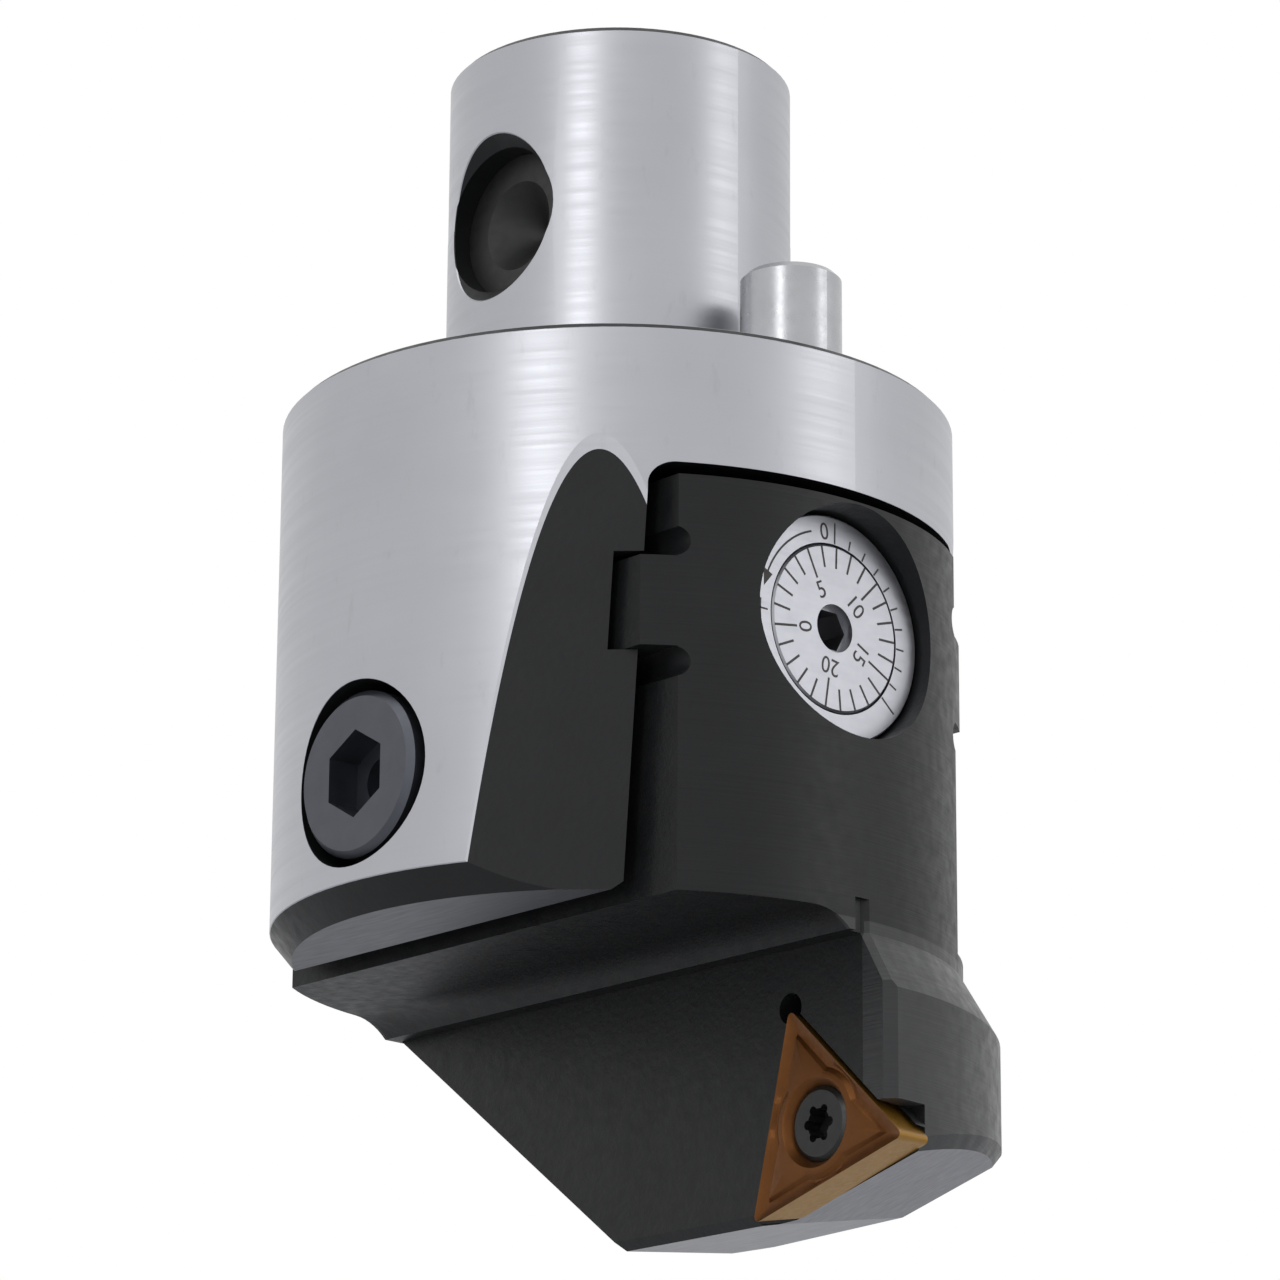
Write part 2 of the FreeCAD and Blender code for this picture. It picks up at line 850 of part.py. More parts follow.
def spindle_bush():
    start = pocket_x0 - past
    mouth = Vector(start + past, 0, -dial_drop)
    bush = rod(bush_d / 2, Vector(start, 0, -dial_drop), bush_len, ALONG_X * -1)
    bore = rod(tail_d / 2 + running, mouth, bush_len + 2 * past, ALONG_X * -1)
    return bush.cut(bore)


def spindle_plug():
    outer = rest_feed - holder_r + plug_recess
    plug = rod(bush_d / 2, Vector(outer, 0, -dial_drop), plug_len, ALONG_X)
    face = Vector(outer, 0, -dial_drop)
    return plug.cut(hexagon(hex_plug, face, ALONG_X, hex_plug_depth))


def feed_nut():
    bottom = -dial_drop - nut_below_axis
    post = rod(nut_r, Vector(nut_x, 0, bottom), -web_h + nut_in - bottom, ALONG_Z)
    start = Vector(nut_x - nut_d, 0, -dial_drop)
    return post.cut(rod(thread_d / 2 + seat_gap, start, 2 * nut_d, ALONG_X))


def feed_nut_screw():
    foot = Vector(nut_x - nut_r, 0, -nut_grub_depth)
    screw = rod(nut_grub_d / 2, foot, nut_grub_len, ALONG_X * -1)
    head = foot - ALONG_X * nut_grub_len
    socket = hexagon(hex_nut_grub, head, ALONG_X, hex_nut_depth)
    nut = rod(nut_r, Vector(nut_x, 0, -web_h), nut_in, ALONG_Z)
    return screw.cut([socket, nut])


def travel_stop_pin():
    start = Vector(stop_pin_x, stop_pin_y, -web_h + stop_pin_in)
    length = stop_pin_in + block_top_gap + stop_pin_down - stop_foot_gap
    return rod(stop_pin_d / 2, start, length, ALONG_Z * -1)


# Clamp screw and gib strips

def clamp_washer():
    start = Vector(0, clamp_seat - clamp_washer_t, -clamp_drop)
    disc = rod(clamp_head_d / 2, start, clamp_washer_t, ALONG_Y)
    hole_r = clamp_d / 2 + clamp_washer_gap
    return disc.cut(rod(hole_r, start - ALONG_Y * past, clamp_washer_t + 2 * past, ALONG_Y))


def clamp_screw():
    head_r = clamp_head_d / 2
    radius = clamp_d / 2
    under = clamp_head_h
    end = under + clamp_washer_t - clamp_seat + channel_half + clamp_grip
    profile = [
        (0, 0),
        (head_r - clamp_edge, 0),
        (head_r, clamp_edge),
        (head_r, under),
        (radius, under),
        (radius, end - clamp_tip),
        (radius - clamp_tip, end),
        (0, end),
    ]
    top = Vector(0, -body_r + clamp_recess, -clamp_drop)
    screw = turned_along(profile, top, ALONG_Y)
    socket = hexagon(hex_clamp, top, ALONG_Y, hex_clamp_depth)
    pilot = rod(pilot_d / 2, top, pilot_depth, ALONG_Y)
    return screw.cut([socket, pilot])


def gib(side):
    near = side * gib_inner
    far = side * channel_half
    y0 = min(near, far)
    y1 = max(near, far)
    strip = block(gib_x0, gib_x1, y0, y1, gib_bottom, gib_top)
    start = Vector(0, -REACH / 2, -clamp_drop)
    tools = [rod(clamp_hole_d / 2, start, REACH, ALONG_Y)]
    for x, z in gib_pin_places():
        tools.append(gib_pin(side, x, z, gib_pin_d / 2, gib_pin_len))
    return strip.cut(tools)


def gib_front():
    return gib(-1)


def gib_back():
    return gib(1)


def gib_dowels():
    pins = []
    for x, z in gib_pin_places():
        for side in (-1, 1):
            pins.append(gib_pin(side, x, z, gib_pin_d / 2, gib_pin_len))
    return Part.makeCompound(pins)


pieces = [
    head_body,
    drive_pin,
    coupling_pin,
    coupling_pin_screw,
    insert_holder,
    insert,
    insert_screw,
    micrometer_spindle,
    graduated_dial,
    dial_grub_screw,
    vernier_ring,
    ring_pin,
    thrust_washer,
    disc_springs,
    dial_seal,
    spindle_bush,
    spindle_plug,
    feed_nut,
    feed_nut_screw,
    travel_stop_pin,
    clamp_washer,
    clamp_screw,
    gib_front,
    gib_back,
    gib_dowels,
]

os.makedirs("parts", exist_ok=True)
for piece in pieces:
    shape = piece()
    name = piece.__name__
    shape.exportStep("parts/" + name + ".step")
    print(name, len(shape.Solids), round(shape.Volume, 2), shape.isValid())
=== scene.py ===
import math
import bmesh
import bpy
from mathutils import Matrix, Vector


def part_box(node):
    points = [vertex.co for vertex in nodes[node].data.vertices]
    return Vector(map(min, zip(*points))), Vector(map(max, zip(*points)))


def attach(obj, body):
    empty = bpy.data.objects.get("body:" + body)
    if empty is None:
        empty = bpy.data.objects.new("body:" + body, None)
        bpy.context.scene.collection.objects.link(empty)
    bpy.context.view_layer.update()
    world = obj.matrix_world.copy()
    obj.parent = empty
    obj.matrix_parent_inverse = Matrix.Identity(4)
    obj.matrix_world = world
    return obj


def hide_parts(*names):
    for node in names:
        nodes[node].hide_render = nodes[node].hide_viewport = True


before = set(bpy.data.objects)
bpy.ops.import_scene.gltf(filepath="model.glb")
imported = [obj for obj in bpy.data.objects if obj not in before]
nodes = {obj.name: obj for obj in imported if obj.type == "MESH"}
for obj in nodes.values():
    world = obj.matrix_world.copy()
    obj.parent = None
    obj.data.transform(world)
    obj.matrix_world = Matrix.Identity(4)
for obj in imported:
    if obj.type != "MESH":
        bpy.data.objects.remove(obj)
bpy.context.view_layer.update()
mm = 0.001


def linear(hexText):
    # sRGB hex to the linear colour that shader sockets take
    parts = [int(hexText[i:i + 2], 16) / 255 for i in (1, 3, 5)]
    lin = [p / 12.92 if p <= 0.04045 else ((p + 0.055) / 1.055) ** 2.4 for p in parts]
    return (lin[0], lin[1], lin[2], 1.0)


def addNode(tree, kind, values=None, **settings):
    # values: input name or index to a constant or to another node's output
    node = tree.nodes.new(kind)
    for name, value in settings.items():
        setattr(node, name, value)
    for name, value in (values or {}).items():
        if isinstance(value, bpy.types.NodeSocket):
            tree.links.new(value, node.inputs[name])
        else:
            node.inputs[name].default_value = value
    return node


def newMaterial(name):
    material = bpy.data.materials.new(name)
    material.use_nodes = True
    tree = material.node_tree
    tree.nodes.clear()
    return material, tree


def finishMaterial(tree, shader):
    addNode(tree, "ShaderNodeOutputMaterial", {"Surface": shader.outputs[0]})


def objectPoint(tree):
    return addNode(tree, "ShaderNodeTexCoord").outputs["Object"]


def math2(tree, operation, a, b=0.0):
    return addNode(tree, "ShaderNodeMath", {0: a, 1: b}, operation=operation).outputs[0]


def radiusFrom(tree, point, centre, keep):
    # distance from an axis: keep is 1 on the two directions across it
    moved = addNode(tree, "ShaderNodeVectorMath", {0: point, 1: centre}, operation="SUBTRACT")
    flat = addNode(tree, "ShaderNodeVectorMath", {0: moved.outputs[0], 1: keep}, operation="MULTIPLY")
    return addNode(tree, "ShaderNodeVectorMath", {0: flat.outputs[0]}, operation="LENGTH").outputs["Value"]


def noiseAt(tree, point, sizeMm, stretch=(1, 1, 1), detail=3.0, rough=0.55):
    # noise whose grains are about sizeMm across
    scaled = addNode(tree, "ShaderNodeMapping", {"Vector": point, "Scale": stretch})
    texture = addNode(tree, "ShaderNodeTexNoise", {
        "Vector": scaled.outputs[0], "Scale": 1000.0 / sizeMm, "Detail": detail, "Roughness": rough})
    return texture.outputs["Fac"]


def remap(tree, value, fromLow, fromHigh, toLow, toHigh):
    node = addNode(tree, "ShaderNodeMapRange", {
        "Value": value, "From Min": fromLow, "From Max": fromHigh, "To Min": toLow, "To Max": toHigh})
    return node.outputs["Result"]


def blendColour(tree, factor, first, second):
    node = addNode(tree, "ShaderNodeMix", {"Factor": factor, 6: first, 7: second}, data_type="RGBA")
    return node.outputs[2]


def blendValue(tree, factor, first, second):
    return addNode(tree, "ShaderNodeMix", {0: factor, 2: first, 3: second}, data_type="FLOAT").outputs[0]


def bumpFrom(tree, height, distanceMm, strength=1.0, normal=None):
    values = {"Height": height, "Distance": distanceMm * mm, "Strength": strength}
    if normal is not None:
        values["Normal"] = normal
    return addNode(tree, "ShaderNodeBump", values).outputs[0]


# Camera and studio

cameraSizes = {
    "place": (0.29953, -0.27494, -0.14027),
    "heading": 47.1814,
    "pitch": 16.8476,
    "roll": 0.3818,
    "lens": 149.53,
}


def makeCamera():
    data = bpy.data.cameras.new("camera")
    data.lens = cameraSizes["lens"]
    data.sensor_width = 36.0
    data.clip_start = 0.01
    camera = bpy.data.objects.new("camera", data)
    bpy.context.scene.collection.objects.link(camera)
    turn = Matrix.Rotation(math.radians(cameraSizes["heading"]), 4, "Z")
    tilt = Matrix.Rotation(math.radians(90 + cameraSizes["pitch"]), 4, "X")
    roll = Matrix.Rotation(math.radians(cameraSizes["roll"]), 4, "Z")
    camera.matrix_world = Matrix.Translation(cameraSizes["place"]) @ turn @ tilt @ roll
    bpy.context.scene.camera = camera


studioSizes = {
    "floorDrop": 0.25,
    "floorSize": 6.0,
    "worldStrength": 0.62,
    "lights": [
        # name, azimuth, elevation, distance, width, height, watts
        ("keyBox", -68, 10, 0.9, 0.16, 0.9, 1.7),
        ("sideBox", 30, 12, 1.0, 0.3, 0.9, 1.3),
        ("topBox", -40, 70, 1.1, 0.8, 0.8, 2.5),
        ("lowBox", -20, -35, 0.9, 0.5, 0.4, 0.6),
    ],
}


def makeStudio():
    scene = bpy.context.scene
    scene.view_settings.view_transform = "Standard"
    world = bpy.data.worlds.new("studioAir")
    scene.world = world
    world.use_nodes = True
    tree = world.node_tree
    tree.nodes.clear()
    path = addNode(tree, "ShaderNodeLightPath")
    seen = math2(tree, "MAXIMUM", path.outputs["Is Camera Ray"], path.outputs["Is Transmission Ray"])
    seen = math2(tree, "MAXIMUM", seen, path.outputs["Is Glossy Ray"])
    white = addNode(tree, "ShaderNodeBackground", {"Color": (1, 1, 1, 1), "Strength": 1.0})
    air = addNode(tree, "ShaderNodeBackground", {
        "Color": linear("#F4F6FA"), "Strength": studioSizes["worldStrength"]})
    both = addNode(tree, "ShaderNodeMixShader", {0: seen, 1: air.outputs[0], 2: white.outputs[0]})
    addNode(tree, "ShaderNodeOutputWorld", {"Surface": both.outputs[0]})
    floorMesh = bpy.data.meshes.new("studioFloor")
    half = studioSizes["floorSize"] / 2
    z = -studioSizes["floorDrop"]
    corners = [(-half, -half, z), (half, -half, z), (half, half, z), (-half, half, z)]
    floorMesh.from_pydata(corners, [], [(0, 1, 2, 3)])
    floor = bpy.data.objects.new("studioFloor", floorMesh)
    scene.collection.objects.link(floor)
    material, tree = newMaterial("paleFloorPaper")
    paper = addNode(tree, "ShaderNodeBsdfPrincipled", {"Base Color": linear("#ECECEC"), "Roughness": 0.8})
    finishMaterial(tree, paper)
    floorMesh.materials.append(material)
    for name, azimuth, elevation, distance, width, height, watts in studioSizes["lights"]:
        data = bpy.data.lights.new(name, "AREA")
        data.shape = "RECTANGLE"
        data.size = width
        data.size_y = height
        data.energy = watts
        lamp = bpy.data.objects.new(name, data)
        scene.collection.objects.link(lamp)
        a = math.radians(azimuth)
        e = math.radians(elevation)
        out = Vector((math.cos(a) * math.cos(e), math.sin(a) * math.cos(e), math.sin(e)))
        lamp.location = out * distance
        lamp.rotation_euler = out.to_track_quat("Z", "Y").to_euler()


makeCamera()
makeStudio()
print("stage: camera and studio")


# Finishes

# region limits in millimetres; the slack lets a facet of a round face count as round
headSizes = {"shankRadius": 14.0, "bodySlack": 0.07, "shankSlack": 0.11, "topChamfer": 0.45, "shoulderBand": 0.03,
             "footSlack": 0.1, "grain": 0.5}
holderSizes = {"axisX": 0.8, "turnedRadius": 26.5, "noseTop": -45.0, "reliefTop": -58.0, "turnedPitch": 0.42,
               "grain": 0.55}


def blackOxideShader(tree, point, bump=None, low="#101112", high="#1B1C1D", gloss=0.24):
    # black oxide on steel: near-black, smooth, catches light only at a low angle
    cloud = noiseAt(tree, point, 6.0)
    colour = blendColour(tree, cloud, linear(low), linear(high))
    roughness = remap(tree, noiseAt(tree, point, 1.2), 0.3, 0.7, 0.34, 0.48)
    values = {"Base Color": colour, "Roughness": roughness, "Metallic": 0.0, "Specular IOR Level": gloss}
    if bump is not None:
        values["Normal"] = bump
    return addNode(tree, "ShaderNodeBsdfPrincipled", values)


def groundBlackShader(tree, point, tone="#77777C"):
    # painted reflection: faces that look down get a lighter blue-grey metallic tone that stands in for the pale floor
    # seen in them
    cloud = noiseAt(tree, point, 5.0)
    base = linear(tone)
    colour = blendColour(tree, cloud, (base[0] * 0.86, base[1] * 0.86, base[2] * 0.86, 1.0), base)
    lines = noiseAt(tree, point, 0.4, (0.12, 1.0, 1.0), 3.0)
    rough = remap(tree, lines, 0.3, 0.7, 0.36, 0.48)
    normal = bumpFrom(tree, lines, 0.008, 0.5)
    return addNode(tree, "ShaderNodeBsdfPrincipled", {
        "Base Color": colour, "Metallic": 0.9, "Roughness": rough, "Normal": normal})


def downMask(tree, point, belowMm, steep=-0.86):
    # faces that look down, lower than a height
    normal = addNode(tree, "ShaderNodeNewGeometry").outputs["Normal"]
    down = math2(tree, "LESS_THAN", addNode(tree, "ShaderNodeSeparateXYZ", {0: normal}).outputs["Z"], steep)
    height = addNode(tree, "ShaderNodeSeparateXYZ", {0: point}).outputs["Z"]
    return math2(tree, "MULTIPLY", down, math2(tree, "LESS_THAN", height, belowMm * mm))


def groundSteelShader(tree, point):
    # cylindrical-ground steel: pale, satin, very fine rings and a few rubs
    rings = noiseAt(tree, point, 0.5, (0.02, 0.02, 1.0), 2.0)
    rubs = noiseAt(tree, point, 1.4, (1.0, 1.0, 0.35), 5.0, 0.7)
    cloud = noiseAt(tree, point, 14.0)
    tone = blendColour(tree, cloud, linear("#A3A4A9"), linear("#B1B2B7"))
    worn = remap(tree, rubs, 0.60, 0.72, 0.0, 0.22)
    colour = blendColour(tree, worn, tone, linear("#8F8F92"))
    roughness = remap(tree, rings, 0.3, 0.7, 0.33, 0.42)
    height = math2(tree, "ADD", math2(tree, "MULTIPLY", rings, 0.6), math2(tree, "MULTIPLY", rubs, 0.4))
    normal = bumpFrom(tree, height, 0.010, 0.5)
    return addNode(tree, "ShaderNodeBsdfPrincipled", {
        "Base Color": colour, "Metallic": 1.0, "Roughness": roughness, "Normal": normal})


def headFinish():
    # ground outside, black oxide in every cut and chamfer; the bottom face is painted lighter grey as a painted
    # reflection of the floor
    material, tree = newMaterial("groundSteelAndBlackOxide")
    point = objectPoint(tree)
    low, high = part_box("head_body")
    s = headSizes
    place = addNode(tree, "ShaderNodeSeparateXYZ", {0: point})
    z = place.outputs["Z"]
    radius = radiusFrom(tree, point, (0, 0, 0), (1, 1, 0))
    onBody = math2(tree, "GREATER_THAN", radius, high.x - s["bodySlack"] * mm)
    onShank = math2(tree, "GREATER_THAN", radius, (s["shankRadius"] - s["shankSlack"]) * mm)
    aboveShoulder = math2(tree, "GREATER_THAN", z, 0.02 * mm)
    belowTop = math2(tree, "LESS_THAN", z, high.z - s["topChamfer"] * mm)
    shank = math2(tree, "MULTIPLY", math2(tree, "MULTIPLY", onShank, aboveShoulder), belowTop)
    shoulder = math2(tree, "LESS_THAN", math2(tree, "ABSOLUTE", z), s["shoulderBand"] * mm)
    mask = math2(tree, "MAXIMUM", math2(tree, "MAXIMUM", onBody, shank), shoulder)
    grain = noiseAt(tree, point, s["grain"])
    black = blackOxideShader(tree, point, bumpFrom(tree, grain, 0.03, 0.6))
    steel = groundSteelShader(tree, point)
    # painted reflection: the downward bottom face gets a lighter grey tone in place of the floor reflected in it
    foot = groundBlackShader(tree, point, "#696A70")
    paintedReflectionMask = downMask(tree, point, low.z / mm + s["footSlack"])
    dark = addNode(tree, "ShaderNodeMixShader", {0: paintedReflectionMask, 1: black.outputs[0], 2: foot.outputs[0]})
    mixed = addNode(tree, "ShaderNodeMixShader", {0: mask, 1: dark.outputs[0], 2: steel.outputs[0]})
    finishMaterial(tree, mixed)
    return material


def holderFinish():
    # turned rings on the round faces, sandy grain on the flat ones; downward faces low on the nose are painted lighter
    # grey as a painted reflection of the floor
    material, tree = newMaterial("blackOxideTurnedSteel")
    point = objectPoint(tree)
    s = holderSizes
    radius = radiusFrom(tree, point, (s["axisX"] * mm, 0, 0), (1, 1, 0))
    turned = math2(tree, "GREATER_THAN", radius, s["turnedRadius"] * mm)
    rings = noiseAt(tree, point, s["turnedPitch"], (0.015, 0.015, 1.0), 2.0, 0.7)
    grain = noiseAt(tree, point, s["grain"], (1, 1, 1), 4.0, 0.6)
    height = blendValue(tree, turned, grain, rings)
    normal = bumpFrom(tree, height, 0.045, 0.8)
    block = blackOxideShader(tree, point, normal)
    nose = blackOxideShader(tree, point, normal, "#1A1B1C", "#262728", 0.42)
    height = addNode(tree, "ShaderNodeSeparateXYZ", {0: point}).outputs["Z"]
    low = math2(tree, "LESS_THAN", height, s["noseTop"] * mm)
    noseTurned = math2(tree, "MULTIPLY", turned, low)
    dark = addNode(tree, "ShaderNodeMixShader", {0: noseTurned, 1: block.outputs[0], 2: nose.outputs[0]})
    # painted reflection: downward faces below the relief height get a lighter grey tone standing in for the floor seen
    # in them
    ground = groundBlackShader(tree, point, "#84848A")
    paintedReflectionMask = downMask(tree, point, s["reliefTop"])
    mixed = addNode(tree, "ShaderNodeMixShader", {0: paintedReflectionMask, 1: dark.outputs[0], 2: ground.outputs[0]})
    finishMaterial(tree, mixed)
    return material


def plainSteel(name, tone, roughness, metallic=1.0, grain=0.4):
    # machined steel parts: one tone, faint cloud, fine grain
    material, tree = newMaterial(name)
    point = objectPoint(tree)
    cloud = noiseAt(tree, point, 3.0)
    base = linear(tone)
    darker = (base[0] * 0.75, base[1] * 0.75, base[2] * 0.75, 1.0)
    colour = blendColour(tree, cloud, darker, base)
    rough = remap(tree, noiseAt(tree, point, 0.8), 0.3, 0.7, roughness - 0.05, roughness + 0.07)
    normal = bumpFrom(tree, noiseAt(tree, point, grain), 0.012, 0.6)
    shader = addNode(tree, "ShaderNodeBsdfPrincipled", {
        "Base Color": colour, "Metallic": metallic, "Roughness": rough, "Normal": normal})
    finishMaterial(tree, shader)
    return material


def coatedCarbide(name, low, high, roughness):
    # vapour-deposited coating on carbide: satin, warm, slightly uneven
    material, tree = newMaterial(name)
    point = objectPoint(tree)
    colour = blendColour(tree, noiseAt(tree, point, 2.2), linear(low), linear(high))
    rough = remap(tree, noiseAt(tree, point, 0.5), 0.3, 0.7, roughness - 0.06, roughness + 0.06)
    normal = bumpFrom(tree, noiseAt(tree, point, 0.22), 0.012, 0.6)
    shader = addNode(tree, "ShaderNodeBsdfPrincipled", {
        "Base Color": colour, "Metallic": 0.75, "Roughness": rough, "Specular IOR Level": 0.3, "Normal": normal})
    finishMaterial(tree, shader)
    return material


def satinDial():
    # fine-turned hardened steel, satin chromed
    material, tree = newMaterial("satinDialSteel")
    point = objectPoint(tree)
    brush = noiseAt(tree, point, 0.35, (1.0, 0.16, 1.0), 3.0, 0.6)
    cloud = noiseAt(tree, point, 2.6)
    colour = blendColour(tree, cloud, linear("#A9AAB0"), linear("#B9BAC0"))
    rough = remap(tree, brush, 0.3, 0.7, 0.34, 0.46)
    normal = bumpFrom(tree, brush, 0.008, 0.6)
    shader = addNode(tree, "ShaderNodeBsdfPrincipled", {
        "Base Color": colour, "Metallic": 1.0, "Roughness": rough, "Normal": normal})
    finishMaterial(tree, shader)
    return material


def dress(node, material):
    mesh = nodes[node].data
    mesh.materials.clear()
    mesh.materials.append(material)


finishes = {
    "head": headFinish(),
    "holder": holderFinish(),
    "dial": satinDial(),
    "pin": plainSteel("groundDowelSteel", "#B4B5B8", 0.30),
    "screw": plainSteel("blackenedScrewSteel", "#55575E", 0.36, 0.85),
    "starScrew": plainSteel("blackenedStarScrew", "#1B1C1B", 0.34, 0.3),
    "hidden": plainSteel("hardenedSteel", "#8C8C90", 0.35),
    "spring": plainSteel("springSteel", "#66666A", 0.35),
    "bronze": plainSteel("bearingBronze", "#A87C45", 0.38),
    "rubber": plainSteel("nitrileRubber", "#151515", 0.6, 0.0),
    "crossPin": plainSteel("blackenedCrossPin", "#101010", 0.5, 0.0),
    "mark": plainSteel("etchedBlackMark", "#3A3634", 0.6, 0.0),
    "insertTop": coatedCarbide("coatedCarbideTop", "#5A3618", "#6A421F", 0.42),
    "insertSide": coatedCarbide("coatedCarbideSide", "#8A6420", "#9A7228", 0.38),
}

dressing = {
    "head_body": "head",
    "drive_pin": "pin",
    "coupling_pin": "crossPin",
    "coupling_pin_screw": "screw",
    "insert_holder": "holder",
    "insert": "insertTop",
    "insert_screw": "starScrew",
    "micrometer_spindle": "hidden",
    "graduated_dial": "dial",
    "dial_grub_screw": "screw",
    "vernier_ring": "dial",
    "ring_pin": "hidden",
    "thrust_washer": "hidden",
    "disc_springs": "spring",
    "dial_seal": "rubber",
    "spindle_bush": "bronze",
    "spindle_plug": "screw",
    "feed_nut": "bronze",
    "feed_nut_screw": "screw",
    "travel_stop_pin": "hidden",
    "clamp_washer": "spring",
    "clamp_screw": "screw",
    "gib_front": "bronze",
    "gib_back": "bronze",
    "gib_dowels": "hidden",
}
for node, finish in dressing.items():
    dress(node, finishes[finish])
print("stage: finishes")


# Dial and vernier marks

dialSizes = {
    "divisions": 25,
    "step": 360.0 / 25,
    "zeroAngle": 188.8,
    "outer": 6.5,
    "shortInner": 4.8,
    "longInner": 4.1,
    "lineWidth": 0.19,
    "numberEvery": 5,
    "numberRadius": 3.1,
    "numberHeight": 1.36,
    "lift": 0.006,
}
ringSizes = {
    "zeroAngle": 89.0,
    "step": 12.96,
    "lines": 11,
    "inner": 6.8,
    "shortOuter": 7.6,
    "longOuter": 8.5,
    "lineWidth": 0.15,
    "zeroRadius": 7.6,
    "zeroAt": 97.5,
    "plusRadius": 7.83,
    "plusAt": 179.7,
    "plusArm": 0.78,
    "arcRadius": 7.68,
    "arcFrom": 108.0,
    "arcTo": 156.0,
    "arrowTo": 166.0,
    "arrowHalf": 0.52,
}


markThick = 0.012


def makeMarkTree():
    # lines on a circle: a thin bar per division, every nth one longer
    tree = bpy.data.node_groups.new("radialMarks", "GeometryNodeTree")
    face = tree.interface
    face.new_socket("Geometry", in_out="OUTPUT", socket_type="NodeSocketGeometry")
    wanted = [("Count", "NodeSocketInt"), ("Every", "NodeSocketInt"), ("Start", "NodeSocketFloat"),
              ("Step", "NodeSocketFloat"), ("Near", "NodeSocketFloat"), ("Short", "NodeSocketFloat"),
              ("Long", "NodeSocketFloat"), ("Width", "NodeSocketFloat"), ("Finish", "NodeSocketMaterial")]
    ids = {}
    for name, kind in wanted:
        ids[name] = face.new_socket(name, in_out="INPUT", socket_type=kind).identifier
    given = addNode(tree, "NodeGroupInput").outputs
    index = addNode(tree, "GeometryNodeInputIndex").outputs[0]
    points = addNode(tree, "GeometryNodePoints", {"Count": given["Count"]})
    rest = math2(tree, "MODULO", index, given["Every"])
    isLong = math2(tree, "LESS_THAN", rest, 0.5)
    far = blendValue(tree, isLong, given["Short"], given["Long"])
    angle = math2(tree, "SUBTRACT", given["Start"], math2(tree, "MULTIPLY", index, given["Step"]))
    middle = math2(tree, "MULTIPLY", math2(tree, "ADD", given["Near"], far), 0.5)
    length = math2(tree, "ABSOLUTE", math2(tree, "SUBTRACT", far, given["Near"]))
    across = math2(tree, "MULTIPLY", middle, math2(tree, "COSINE", angle))
    up = math2(tree, "MULTIPLY", middle, math2(tree, "SINE", angle))
    place = addNode(tree, "ShaderNodeCombineXYZ", {1: across, 2: up})
    turn = addNode(tree, "ShaderNodeCombineXYZ", {0: angle})
    size = addNode(tree, "ShaderNodeCombineXYZ", {0: 1.0, 1: length, 2: given["Width"]})
    moved = addNode(tree, "GeometryNodeSetPosition", {"Geometry": points.outputs[0], "Position": place.outputs[0]})
    bar = addNode(tree, "GeometryNodeMeshCube", {"Size": (markThick * mm, 1.0, 1.0)})
    copies = addNode(tree, "GeometryNodeInstanceOnPoints", {
        "Points": moved.outputs[0], "Instance": bar.outputs[0], "Rotation": turn.outputs[0], "Scale": size.outputs[0]})
    real = addNode(tree, "GeometryNodeRealizeInstances", {0: copies.outputs[0]})
    painted = addNode(tree, "GeometryNodeSetMaterial", {"Geometry": real.outputs[0], "Material": given["Finish"]})
    addNode(tree, "NodeGroupOutput", {0: painted.outputs[0]})
    return tree, ids


def bakeMarks(name, tree, ids, values, place, body):
    # runs the tree once and keeps its plain mesh
    holder = bpy.data.objects.new(name + "Source", bpy.data.meshes.new(name + "Source"))
    bpy.context.scene.collection.objects.link(holder)
    modifier = holder.modifiers.new("marks", "NODES")
    modifier.node_group = tree
    for key, value in values.items():
        modifier[ids[key]] = value
    bpy.context.view_layer.update()
    seen = holder.evaluated_get(bpy.context.evaluated_depsgraph_get())
    mesh = bpy.data.meshes.new_from_object(seen)
    mesh.transform(Matrix.Translation(place))
    holder.modifiers.remove(modifier)
    bpy.data.objects.remove(holder)
    piece = bpy.data.objects.new(name, mesh)
    bpy.context.scene.collection.objects.link(piece)
    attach(piece, body)
    return piece


def flatPiece(name, mesh, body):
    mesh.materials.clear()
    mesh.materials.append(finishes["mark"])
    piece = bpy.data.objects.new(name, mesh)
    bpy.context.scene.collection.objects.link(piece)
    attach(piece, body)
    return piece


def numberMesh(text, height, radius, angle, place):
    # a number lying on the dial face with its top outwards
    curve = bpy.data.curves.new("number" + text, "FONT")
    curve.body = text
    curve.align_x = "CENTER"
    curve.align_y = "CENTER"
    curve.size = height / 0.7 * mm
    curve.extrude = markThick / 2 * mm
    curve.resolution_u = 4
    source = bpy.data.objects.new("number" + text, curve)
    bpy.context.scene.collection.objects.link(source)
    bpy.context.view_layer.update()
    mesh = bpy.data.meshes.new_from_object(source.evaluated_get(bpy.context.evaluated_depsgraph_get()))
    bpy.data.objects.remove(source)
    # stand the text on the X face: its right is +Y, its up is +Z
    stand = Matrix(((0, 0, 1, 0), (1, 0, 0, 0), (0, 1, 0, 0), (0, 0, 0, 1)))
    turn = Matrix.Rotation(math.radians(angle - 90), 4, "X")
    out = Matrix.Translation((0, 0, radius * mm))
    mesh.transform(Matrix.Translation(place) @ turn @ out @ stand)
    return mesh


def joined(meshes, name):
    whole = bmesh.new()
    for mesh in meshes:
        whole.from_mesh(mesh)
    result = bpy.data.meshes.new(name)
    whole.to_mesh(result)
    whole.free()
    return result


